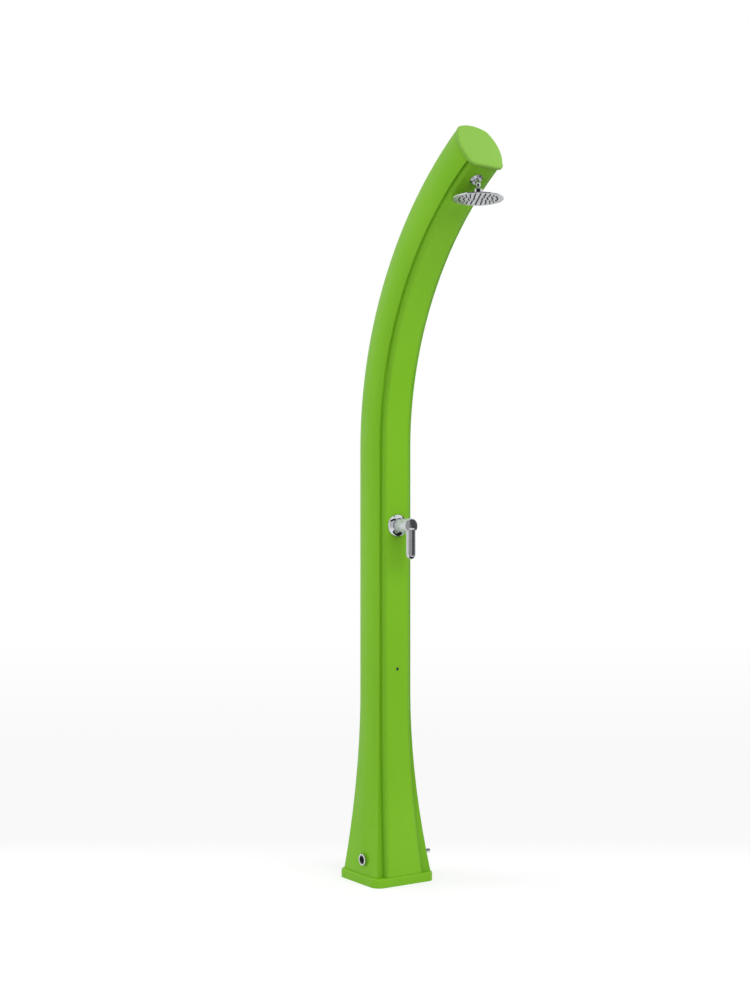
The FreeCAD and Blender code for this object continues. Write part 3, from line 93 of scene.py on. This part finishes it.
class Tree:
    """A small wrapper that adds and links the nodes of a material or a world."""

    def __init__(self, owner):
        owner.use_nodes = True
        self.nodes, self.links = owner.node_tree.nodes, owner.node_tree.links

    def add(self, kind, **settings):
        """Add a node; settings are properties of the node or values of its inputs."""
        node = self.nodes.new(kind)
        for name, setting in settings.items():
            if hasattr(node, name):
                setattr(node, name, setting)
            else:
                node.inputs[name.replace("_", " ")].default_value = setting
        return node

    def link(self, source, target):
        self.links.new(source, target)

    def maths(self, operation, first, second=None):
        """The result of a Math node on one or two outputs."""
        node = self.add("ShaderNodeMath", operation=operation)
        self.link(first, node.inputs[0])
        if second:
            self.link(second, node.inputs[1])
        return node.outputs["Value"]

    def spread(self, factor, low, high, start, end, **settings):
        """A number that runs from low to high as the factor runs from start to end."""
        node = self.add("ShaderNodeMapRange", **settings)
        for name, number in (("From Min", start), ("From Max", end),
                             ("To Min", low), ("To Max", high)):
            node.inputs[name].default_value = number
        self.link(factor, node.inputs["Value"])
        return node.outputs["Result"]

    def multiply(self, first, second):
        """The product of two colours; the second may be a plain one."""
        node = self.add("ShaderNodeMix", data_type="RGBA", blend_type="MULTIPLY", Factor=1.0)
        self.link(first, node.inputs[MIX_A])
        if isinstance(second, tuple):
            node.inputs[MIX_B].default_value = second
        else:
            self.link(second, node.inputs[MIX_B])
        return node.outputs[MIX_RESULT]

    def either(self, factor, first, second):
        """One shader where the factor is 0 and another where it is 1."""
        node = self.add("ShaderNodeMixShader")
        for source, target in ((factor, 0), (first, 1), (second, 2)):
            self.link(source, node.inputs[target])
        return node.outputs["Shader"]

    def seen_directly(self):
        """1 for rays from the camera, in the plating or through a clear part, else 0."""
        path = self.add("ShaderNodeLightPath")
        total = path.outputs["Is Camera Ray"]
        for ray in ("Is Glossy Ray", "Is Transmission Ray"):
            total = self.maths("MAXIMUM", total, path.outputs[ray])
        return total


class Shader(Tree):
    """The nodes of one material of the post, round its Principled shader."""

    def __init__(self, name):
        self.material = bpy.data.materials.new(name)
        super().__init__(self.material)
        self.surface = self.nodes["Principled BSDF"]
        coordinates = self.add("ShaderNodeTexCoord")
        self.place = coordinates.outputs["Object"]
        self.normal = coordinates.outputs["Normal"]

    def set(self, **values):
        """Give the Principled shader's inputs these constants."""
        for name, setting in values.items():
            self.surface.inputs[name.replace("_", " ")].default_value = setting

    def drive(self, **sources):
        """Link these outputs to the Principled shader's inputs."""
        for name, source in sources.items():
            self.link(source, self.surface.inputs[name.replace("_", " ")])

    def facing(self):
        """The object's own normal, as outputs X, Y and Z."""
        parts = self.add("ShaderNodeSeparateXYZ")
        self.link(self.normal, parts.inputs[0])
        return parts.outputs

    def noise(self, size, detail=3.0, stretch=None):
        """Noise whose blotches are about this many metres across."""
        node = self.add("ShaderNodeTexNoise", Scale=1 / size, Detail=detail, Roughness=0.5)
        source = self.place
        if stretch:
            mapping = self.add("ShaderNodeMapping")
            mapping.inputs["Scale"].default_value = stretch
            self.link(self.place, mapping.inputs["Vector"])
            source = mapping.outputs["Vector"]
        self.link(source, node.inputs["Vector"])
        return node.outputs["Fac"]

    def between(self, factor, low, high, start=0.3, end=0.7):
        """A colour or number that runs from low to high with a factor."""
        if not isinstance(low, tuple):
            return self.spread(factor, low, high, start, end)
        ramp = self.add("ShaderNodeValToRGB")
        for stop, position, colour in zip(ramp.color_ramp.elements, (start, end), (low, high)):
            stop.position = position
            stop.color = colour
        self.link(factor, ramp.inputs["Fac"])
        return ramp.outputs["Color"]

    def relief(self, height, depth, strength=1.0, edge_radius=0.0):
        """Bump of this depth in metres, over edges rounded by edge_radius."""
        bump = self.add("ShaderNodeBump", Strength=strength, Distance=depth)
        self.link(height, bump.inputs["Height"])
        if edge_radius:
            bevel = self.add("ShaderNodeBevel", samples=6, Radius=edge_radius)
            self.link(bevel.outputs["Normal"], bump.inputs["Normal"])
        self.drive(Normal=bump.outputs["Normal"])


def moulded_green(name="moulded_green", low=srgb(121, 186, 26), high=srgb(127, 191, 34),
                  edge_radius=0.0015, painted_roll_shade=False):
    """Satin moulded plastic with a faint orange peel, flow marks and painted shade in its grooves.
    Rolled edges, which face between front and side, may be given painted shade, a little darker."""
    shader = Shader(name)
    flow = shader.noise(0.35, detail=2, stretch=(1.6, 1.6, 0.35))
    clean = shader.between(flow, low, high, 0.35, 0.65)
    # painted shade: the colour is darkened a little where the shell's own grooves and recesses hem a
    # point in
    recess = shader.add("ShaderNodeAmbientOcclusion", samples=8, only_local=True, Distance=0.10)
    painted_groove_shade = shader.between(recess.outputs["AO"], srgb(238, 242, 250), WHITE, 0.45, 1.0)
    colour = shader.multiply(clean, painted_groove_shade)
    if painted_roll_shade:
        # painted shade on the rolled edges: the more a point faces between front and side, the
        # darker it is coloured
        facing = shader.facing()
        turned = shader.maths("ABSOLUTE", shader.maths("MULTIPLY", facing["X"], facing["Y"]))
        shade = shader.between(turned, WHITE, srgb(238, 240, 244), 0.12, 0.5)
        colour = shader.multiply(colour, shade)
    shader.drive(Base_Color=colour, Roughness=shader.between(shader.noise(0.05), 0.42, 0.52))
    shader.relief(shader.noise(0.0035, detail=2), 0.00012, strength=0.35, edge_radius=edge_radius)
    shader.set(IOR=1.46, Specular_IOR_Level=0.25)
    return shader.material


def chrome(name="chrome", metal=1.0, haze=(0.05, 0.11), painted_side_sheen=False):
    """Polished plating with the faintest waviness and wiping haze. A lower metal
    mirrors less; the sides may be given a painted sheen, so that only what faces front or back
    mirrors fully and the rest shows its pale base colour."""
    shader = Shader(name)
    shader.set(Metallic=metal)
    if painted_side_sheen:
        # painted sheen: where the part faces sideways it mirrors less and shows its pale base colour
        front = shader.maths("ABSOLUTE", shader.facing()["Y"])
        shader.drive(Metallic=shader.between(front, SATIN_AND_SHEEN_METAL, metal, 0.25, 0.6))
    tint = shader.between(shader.noise(0.02), srgb(200, 203, 207), srgb(214, 216, 219))
    shader.drive(Base_Color=tint, Roughness=shader.between(shader.noise(0.006, detail=4), *haze))
    shader.relief(shader.noise(0.012, detail=1), 0.00005, strength=0.25, edge_radius=0.0006)
    return shader.material


def brushed(name, low, high):
    """Brushed or machined metal; the grain runs across the stretched axis."""
    shader = Shader(name)
    shader.set(Metallic=1.0)
    scratches = shader.noise(0.004, detail=4, stretch=(1, 1, 14))
    shader.drive(Base_Color=shader.between(scratches, low, high),
                 Roughness=shader.between(scratches, 0.24, 0.42))
    shader.relief(scratches, 0.00003, strength=0.4, edge_radius=0.0004)
    return shader.material


def rubber(name, low, high):
    """Dull rubber, or anything as dark and matt, with a fine grain."""
    shader = Shader(name)
    shader.drive(Base_Color=shader.between(shader.noise(0.004), low, high),
                 Roughness=shader.between(shader.noise(0.001), 0.5, 0.75))
    shader.relief(shader.noise(0.0008), 0.00005, strength=0.3, edge_radius=0.0003)
    return shader.material


def plastic(name, low, high, gloss=(0.18, 0.3)):
    """Glossy plastic with slight clouds of tone and shine."""
    shader = Shader(name)
    shader.drive(Base_Color=shader.between(shader.noise(0.03), low, high),
                 Roughness=shader.between(shader.noise(0.004), *gloss))
    shader.relief(shader.noise(0.002), 0.00005, strength=0.25, edge_radius=0.0004)
    return shader.material


SLOT_MATERIALS = {
    "green_plastic": moulded_green,
    "chrome": chrome,
    "brass": lambda: brushed("brass", srgb(176, 141, 74), srgb(205, 170, 98)),
    "steel": lambda: brushed("steel", srgb(168, 170, 174), srgb(200, 202, 205)),
    "rubber": lambda: rubber("black_rubber", srgb(16, 16, 17), srgb(34, 34, 36)),
    "hose": lambda: plastic("hose_plastic", srgb(198, 204, 210), srgb(214, 219, 224), (0.3, 0.45)),
    "white_plastic": lambda: plastic("white_plastic", srgb(206, 206, 202), srgb(220, 220, 216)),
    "dark_cap": lambda: plastic("dark_cap", srgb(38, 39, 42), srgb(54, 55, 58), (0.12, 0.22)),
    "nozzle_rubber": lambda: rubber("nozzle_rubber", srgb(40, 41, 44), srgb(62, 63, 66)),
}

finishes = {slot: make() for slot, make in SLOT_MATERIALS.items()}
# painted shade for the inside of the water inlet's bore
bore_painted_shade = rubber("bore_painted_shade", srgb(30, 28, 25), srgb(58, 54, 48))
lever_finish = chrome("chrome_lever", haze=(0.14, 0.2), painted_side_sheen=True)
NODE_FINISHES = {
    "post_shell": moulded_green("moulded_green_shell", painted_roll_shade=True),
    "end_cap": moulded_green("moulded_green_cap", srgb(128, 180, 64), srgb(134, 185, 72),
                             edge_radius=0.003),
    "mixer_sleeve": chrome("chrome_satin", metal=SATIN_AND_SHEEN_METAL, haze=(0.2, 0.3)),
}


def dress_nodes():
    """Give each CAD node its own finish, or that of its slot in the record."""
    for entry in frame["record"]["subparts"]:
        mesh = frame["nodes"][entry["node"]].data
        mesh.materials.clear()
        finish = NODE_FINISHES.get(entry["node"], finishes[entry["material_slot"]])
        mesh.materials.append(finish)


# --------------------------------------------------------------- detailed lever

# distances are measured from the front panel along the mixer's axis, and heights
# from that axis
PANEL_FACE = 0.059            # of the panel itself, from the post's axis
MIXER_UP = 1.083              # of the mixer's axis, from the ground
PIVOT_AT = 0.034              # the lever lifts about this point, on a dome of the sleeve
HOLLOW_R = 0.020              # hollow of the head that clears the dome
HEAD_BACK = 0.042
HEAD_FRONT = 0.0755
HEAD_R = 0.0235
HEAD_DROP = 0.003             # the head sits lower than the axis it turns on
HEAD_ROUND = 0.0035
HEAD_CROWN = 0.0012
BOSS_R = 0.007
BOSS_BACK = 0.0455
PADDLE_HALF = 0.0162
PADDLE_MIDDLE = 0.0715        # middle of its thickness
PADDLE_DEPTH = 0.0088         # half its thickness
PADDLE_TOP = -0.009
PADDLE_TIP = -0.1027
PADDLE_SQUARE = 2.3           # 2 is an ellipse in section, more is squarer
PADDLE_TOP_ROUND = 0.006      # height over which its top rounds off into the head
PADDLE_TOP_WAIST = 0.35       # share of the width that it loses there
TIP_FLATNESS = 0.6            # below 1, the tip stays thick nearer its end
LEAST_SECTION = 0.02          # share of the section that is left at both ends
LEVER_VOXEL = 0.0009          # head and paddle are joined as one skin of this grain
LEVER_SMOOTHING = 6           # rounds of smoothing, which leave a fillet between them
SHARP_EDGE = math.radians(35)


def arc(centre, radius, start, end, steps):
    """Points (r, d) on an arc, angles in degrees from the r axis towards +d."""
    points = []
    for step in range(steps + 1):
        angle = math.radians(start + (end - start) * step / steps)
        points.append((centre[0] + radius * math.cos(angle), centre[1] + radius * math.sin(angle)))
    return points


def mesh_object(name, build):
    """A linked object whose mesh the build function fills."""
    mesh = bpy.data.meshes.new(name)
    shape = bmesh.new()
    build(shape)
    bmesh.ops.recalc_face_normals(shape, faces=shape.faces)
    shape.to_mesh(mesh)
    shape.free()
    piece = bpy.data.objects.new(name, mesh)
    bpy.context.collection.objects.link(piece)
    return piece


def lathe(shape, profile, turns=64):
    """Turn a profile of (radius, distance) and perhaps a drop about the -Y axis."""
    rows = []
    for radius, distance, *drop in profile:
        height = -drop[0] if drop else 0
        if radius < 1e-7:
            rows.append([shape.verts.new((0, -distance, height))])
            continue
        rows.append([shape.verts.new((radius * math.cos(2 * math.pi * turn / turns), -distance,
                                      height + radius * math.sin(2 * math.pi * turn / turns)))
                     for turn in range(turns)])
    for low, high in zip(rows, rows[1:]):
        for turn in range(turns):
            after = (turn + 1) % turns
            corners = [low[turn % len(low)], low[after % len(low)],
                       high[after % len(high)], high[turn % len(high)]]
            unique = list(dict.fromkeys(corners))
            if len(unique) > 2:
                shape.faces.new(unique)


def lever_head(shape):
    """Drum with a crowned face, hollowed at the back round the sleeve's dome."""
    rim = math.degrees(math.asin((HEAD_BACK - PIVOT_AT) / HOLLOW_R))
    crown = (HEAD_R - HEAD_ROUND) ** 2 / (2 * HEAD_CROWN)
    lean = math.degrees(math.asin((HEAD_R - HEAD_ROUND) / crown))
    boss = math.degrees(math.acos(BOSS_R / HOLLOW_R))
    profile = [(0, BOSS_BACK), (BOSS_R, BOSS_BACK)]
    profile += arc((0, PIVOT_AT), HOLLOW_R, boss, rim, 12)
    outside = [(HEAD_R, HEAD_BACK)]
    outside += arc((HEAD_R - HEAD_ROUND, HEAD_FRONT - HEAD_ROUND), HEAD_ROUND, 0, 90 - lean, 6)
    outside += arc((0, HEAD_FRONT + HEAD_CROWN - crown), crown, 90 - lean, 90, 8)[:-1]
    outside += [(0, HEAD_FRONT + HEAD_CROWN)]
    profile += [(radius, distance, HEAD_DROP) for radius, distance in outside]
    lathe(shape, profile)


def squared(part):
    """A cosine or sine bent so that the oval it draws is squarer."""
    return math.copysign(abs(part) ** (2 / PADDLE_SQUARE), part)


def paddle(shape, rings=56, around=40):
    """Blade of the lever: a squared oval in section, with a half round tip."""
    rows = []
    length = PADDLE_TOP - PADDLE_TIP
    for ring in range(rings + 1):
        # closer rings near both ends, where the outline turns
        height = PADDLE_TIP + (1 - math.cos(math.pi * ring / rings)) / 2 * length
        tip_left = max(1 - (height - PADDLE_TIP) / PADDLE_HALF, 0)
        top_left = max(1 - (PADDLE_TOP - height) / PADDLE_TOP_ROUND, 0)
        wide = math.sqrt(max(1 - tip_left ** 2, 0)) - PADDLE_TOP_WAIST * top_left ** 2
        deep = max(1 - tip_left ** 2, 0) ** (TIP_FLATNESS / 2) * math.sqrt(max(1 - top_left ** 2, 0))
        row = []
        for step in range(around):
            angle = 2 * math.pi * step / around
            x = squared(math.cos(angle)) * PADDLE_HALF * max(wide, LEAST_SECTION)
            d = squared(math.sin(angle)) * PADDLE_DEPTH * max(deep, LEAST_SECTION)
            row.append(shape.verts.new((x, -PADDLE_MIDDLE - d, height)))
        rows.append(row)
    for low, high in zip(rows, rows[1:]):
        for step in range(around):
            after = (step + 1) % around
            shape.faces.new((low[step], low[after], high[after], high[step]))
    shape.faces.new(rows[0])
    shape.faces.new(rows[-1])


def apply_modifiers(piece):
    """Keep the mesh as its modifiers leave it."""
    graph = bpy.context.evaluated_depsgraph_get()
    mesh = bpy.data.meshes.new_from_object(piece.evaluated_get(graph))
    piece.modifiers.clear()
    piece.data = mesh


def add_lever():
    """The cast lever as one flowing piece: head, paddle and the fillet between."""
    head = mesh_object("lever_cast", lever_head)
    blade = mesh_object("lever_blade", paddle)
    join = bmesh.new()
    join.from_mesh(head.data)
    join.from_mesh(blade.data)
    join.to_mesh(head.data)
    join.free()
    bpy.data.objects.remove(blade)
    remesh = head.modifiers.new("one_skin", "REMESH")
    remesh.mode = "VOXEL"
    remesh.voxel_size = LEVER_VOXEL
    smooth = head.modifiers.new("soft_edges", "SMOOTH")
    smooth.factor = 0.5
    smooth.iterations = LEVER_SMOOTHING
    apply_modifiers(head)
    head.data.transform(Matrix.Translation((0, -PANEL_FACE, MIXER_UP)))
    head.data.shade_smooth()
    head.data.materials.append(lever_finish)
    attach(head, "lever")
    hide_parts("lever_handle", "lever_cap")


# ----------------------------------------------------------------- water inlet

FEED_UP, FEED_BACK = 0.072, -0.020   # height of both inlets, and their place along Y
INLET_FACE = 0.1045           # from the post's axis
FLANGE_R, FLANGE_THICK = 0.0175, 0.005
SEAT_R, SEAT_DEEP = 0.0132, 0.003
THREAD_R, THREAD_DEEP = 0.0093, 0.016
WATER_R, SHANK_R, SHANK_LONG = 0.007, 0.0125, 0.0425
WASHER_THICK = 0.002
THREAD_PITCH, THREAD_TALL = 0.0018, 0.0008
INLET_LIP = 0.0012            # rounding of the flange
WASHER_GAP = 0.0001           # between the washer and its seat


def inlet_socket(shape):
    """Open socket: rounded flange, seat for the washer, threads, waterway and shank."""
    lip = INLET_LIP
    profile = [(WATER_R, -SHANK_LONG), (WATER_R, -THREAD_DEEP), (THREAD_R, -THREAD_DEEP)]
    turn = -THREAD_DEEP + THREAD_PITCH
    while turn < -SEAT_DEEP - THREAD_PITCH:
        profile += [(THREAD_R, turn), (THREAD_R + THREAD_TALL, turn + THREAD_PITCH / 2)]
        turn += THREAD_PITCH
    profile += [(THREAD_R, -SEAT_DEEP), (SEAT_R, -SEAT_DEEP), (SEAT_R, -lip / 2),
                (SEAT_R + lip / 2, 0)]
    profile += arc((FLANGE_R - lip, -lip), lip, 90, 0, 5)
    profile += [(FLANGE_R, -FLANGE_THICK), (SHANK_R, -FLANGE_THICK), (SHANK_R, -SHANK_LONG),
                (WATER_R, -SHANK_LONG)]
    lathe(shape, profile)


def washer(shape):
    """Rubber washer with rounded edges that lies in the socket's seat."""
    middle, low = (THREAD_R + SEAT_R) / 2, -SEAT_DEEP + WASHER_GAP
    half = (SEAT_R - THREAD_R) / 2 - WASHER_GAP
    edge = WASHER_THICK / 2
    profile = arc((middle + half - edge, low + edge), edge, -90, 90, 6)
    profile += arc((middle - half + edge, low + edge), edge, 90, 270, 6)
    lathe(shape, profile + profile[:1])


def add_inlet():
    """Set the socket and its washer into the side that faces -X."""
    spot = Matrix.Translation((-INLET_FACE, FEED_BACK, FEED_UP))
    spot @= Matrix.Rotation(math.radians(-90), 4, "Z")
    for name, build, slot in (("inlet_mouth", inlet_socket, "chrome"),
                              ("inlet_washer", washer, "rubber")):
        piece = mesh_object(name, build)
        piece.data.materials.append(finishes[slot])
        if build is inlet_socket:
            # painted shade: the threads down the bore are painted dark and dull
            piece.data.materials.append(bore_painted_shade)
            for face in piece.data.polygons:
                centre = face.center
                inside = math.hypot(centre.x, centre.z) < SEAT_R and centre.y > SEAT_DEEP / 2
                face.material_index = int(inside)
            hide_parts("inlet_socket_left")
        piece.data.transform(spot)
        piece.data.shade_smooth()
        piece.data.set_sharp_from_angle(angle=SHARP_EDGE)
        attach(piece, "post")


# ---------------------------------------------------------------------- studio

FLOOR_SIZE = 400.0
# metres behind the post, and how white the floor is painted there: a faint band of painted shade
FLOOR_PAINTED_SHADE = ((0.25, 1.0), (0.55, 0.95), (2.5, 0.945), (4.2, 0.956), (7.0, 0.98), (12.0, 1.0))
LIT_BEHIND = (0.10, 0.55)     # behind the post the floor's shadows fade out between these
LIT_RING = (1.6, 2.8)         # and so they do all round the post
FLOOR_OWN = 0.62              # share of the near floor's white that is its own
FLOOR_LIT = 0.42              # and what it reflects of the light and so shows shadows in
FLOOR_BOUNCE = 0.78           # what the post sees of the floor
WORLD_LIGHT = 0.62

CHEST = (0, -0.1, 1.1)        # what the lamps and cards are turned to
# lamps: place, width and height, power in watts
SOFTBOXES = {
    "front_top": ((0.15, -3.5, 3.6), (3.8, 2.8), 90),
    "left_back": ((-3.0, 2.4, 2.8), (2.4, 2.4), 55),
}
FLAG_TONES = (0.9, 0.5, 0.28, 0.02)   # of the cards in front, from left to right
FLAG_START = math.radians(-62)        # azimuth of the left edge, from straight ahead
FLAG_TURN = math.radians(46)          # that each card covers
FLAG_AWAY, FLAG_UP, FLAG_TALL = 4.0, 1.2, 3.6
# small dark cards near the trim: place, what they face, width and height
DARK_FLAGS = {
    "low_flag": ((0.25, -0.5, 0.45), CHEST, (1.3, 0.8)),
    "high_flag": ((1.3, -0.1, 1.65), CHEST, (0.9, 0.7)),
    "neck_flag": ((-0.55, -1.27, 2.24), (0, -0.44, 2.0), (2.4, 0.7)),
}
DARK = 0.02


def grey(value):
    """A neutral colour of this linear brightness."""
    return (value, value, value, 1)


def sheet(name, width, height):
    """A flat rectangle round its own origin, with an empty material of its name."""
    mesh = bpy.data.meshes.new(name)
    w, h = width / 2, height / 2
    mesh.from_pydata([(-w, -h, 0), (w, -h, 0), (w, h, 0), (-w, h, 0)], [], [(0, 1, 2, 3)])
    piece = bpy.data.objects.new(name, mesh)
    bpy.context.collection.objects.link(piece)
    material = bpy.data.materials.new(name)
    mesh.materials.append(material)
    tree = Tree(material)
    tree.nodes.remove(tree.nodes["Principled BSDF"])
    return piece, tree


def place_facing(piece, place, target):
    """Put a lamp or card somewhere, turned to its target."""
    piece.location = place
    aim = Vector(target) - Vector(place)
    piece.rotation_euler = aim.to_track_quat("-Z", "Y").to_euler()


def add_floor():
    """White floor with a faint band of painted shade behind the post. Near the post part
    of its white is its own, so that it stays white, and the rest is lit, so that it keeps the post's
    soft shadow."""
    floor, tree = sheet("floor", FLOOR_SIZE, FLOOR_SIZE)
    place = tree.add("ShaderNodeTexCoord").outputs["Object"]
    depth = tree.add("ShaderNodeVectorMath", operation="DOT_PRODUCT")
    depth.inputs[1].default_value = view_forward
    tree.link(place, depth.inputs[0])
    behind = depth.outputs["Value"]

    # painted shade: the floor's colour greys a little behind the post and whitens again far off
    reach = FLOOR_PAINTED_SHADE[-1][0]
    ramp = tree.add("ShaderNodeValToRGB")
    stops = ramp.color_ramp.elements
    stops.remove(stops[0])
    for distance, white in FLOOR_PAINTED_SHADE:
        stop = stops[0] if distance == reach else stops.new(distance / reach)
        stop.color = grey(white)
    tree.link(tree.spread(behind, 0, 1, 0, reach), ramp.inputs["Fac"])
    tone = ramp.outputs["Color"]

    lit = tree.add("ShaderNodeBsdfDiffuse")
    tree.link(tree.multiply(tone, grey(FLOOR_LIT)), lit.inputs["Color"])
    own = tree.add("ShaderNodeEmission", Strength=FLOOR_OWN)
    far = tree.add("ShaderNodeEmission")
    for glow in (own, far):
        tree.link(tone, glow.inputs["Color"])
    near = tree.add("ShaderNodeAddShader")
    tree.link(lit.outputs["BSDF"], near.inputs[0])
    tree.link(own.outputs["Emission"], near.inputs[1])

    away = tree.add("ShaderNodeVectorMath", operation="LENGTH")
    tree.link(place, away.inputs[0])
    fades = [tree.spread(distance, 0, 1, *limits, interpolation_type="SMOOTHSTEP")
             for distance, limits in ((behind, LIT_BEHIND), (away.outputs["Value"], LIT_RING))]
    whole = tree.either(tree.maths("MAXIMUM", *fades), near.outputs["Shader"],
                        far.outputs["Emission"])
    plain = tree.add("ShaderNodeBsdfDiffuse", Color=grey(FLOOR_BOUNCE))
    tree.link(tree.either(tree.seen_directly(), plain.outputs["BSDF"], whole),
              tree.nodes["Material Output"].inputs["Surface"])


def set_world():
    """An even surround that looks white and lights the post a little less."""
    world = bpy.data.worlds.new("studio")
    bpy.context.scene.world = world
    tree = Tree(world)
    tree.nodes.clear()
    light = tree.add("ShaderNodeBackground", Color=grey(1))
    tree.link(tree.spread(tree.seen_directly(), WORLD_LIGHT, 1, 0, 1), light.inputs["Strength"])
    output = tree.add("ShaderNodeOutputWorld")
    tree.link(light.outputs["Background"], output.inputs["Surface"])


def add_softbox(name, place, size, power):
    """A wide lamp that the plating doesn't mirror."""
    data = bpy.data.lights.new(name, "AREA")
    data.shape = "RECTANGLE"
    data.size, data.size_y = size
    data.energy = power
    light = bpy.data.objects.new(name, data)
    place_facing(light, place, CHEST)
    light.visible_glossy = False
    bpy.context.collection.objects.link(light)


def add_flag(name, place, target, size, left_tone=DARK, right_tone=DARK):
    """A dark card that only shows in the plating, as a studio sets beside chrome.
    Left and right are as seen from the target, and the tone runs evenly between."""
    card, tree = sheet(name, *size)
    place_facing(card, place, target)
    across = tree.add("ShaderNodeSeparateXYZ")
    tree.link(tree.add("ShaderNodeTexCoord").outputs["Object"], across.inputs["Vector"])
    half = size[0] / 2
    paint = tree.add("ShaderNodeEmission")
    tree.link(tree.spread(across.outputs["X"], left_tone, right_tone, half, -half),
              paint.inputs["Strength"])
    tree.link(paint.outputs["Emission"], tree.nodes["Material Output"].inputs["Surface"])
    card.visible_camera = False
    card.visible_diffuse = False
    card.visible_shadow = False


def add_studio():
    """Floor, surround, lamps, a row of cards in front and the small dark ones."""
    add_floor()
    set_world()
    for name, settings in SOFTBOXES.items():
        add_softbox(name, *settings)
    target = (CHEST[0], CHEST[1], FLAG_UP)
    size = (2 * FLAG_AWAY * math.tan(FLAG_TURN / 2), FLAG_TALL)
    for number, tones in enumerate(zip(FLAG_TONES, FLAG_TONES[1:])):
        turn = FLAG_START + FLAG_TURN * (number + 0.5)
        place = (FLAG_AWAY * math.sin(turn), CHEST[1] - FLAG_AWAY * math.cos(turn), FLAG_UP)
        add_flag("flag_%d" % number, place, target, size, *tones)
    for name, settings in DARK_FLAGS.items():
        add_flag(name, *settings)


add_camera()
dress_nodes()
add_lever()
add_inlet()
add_studio()

bpy.context.scene.view_settings.view_transform = "Standard"
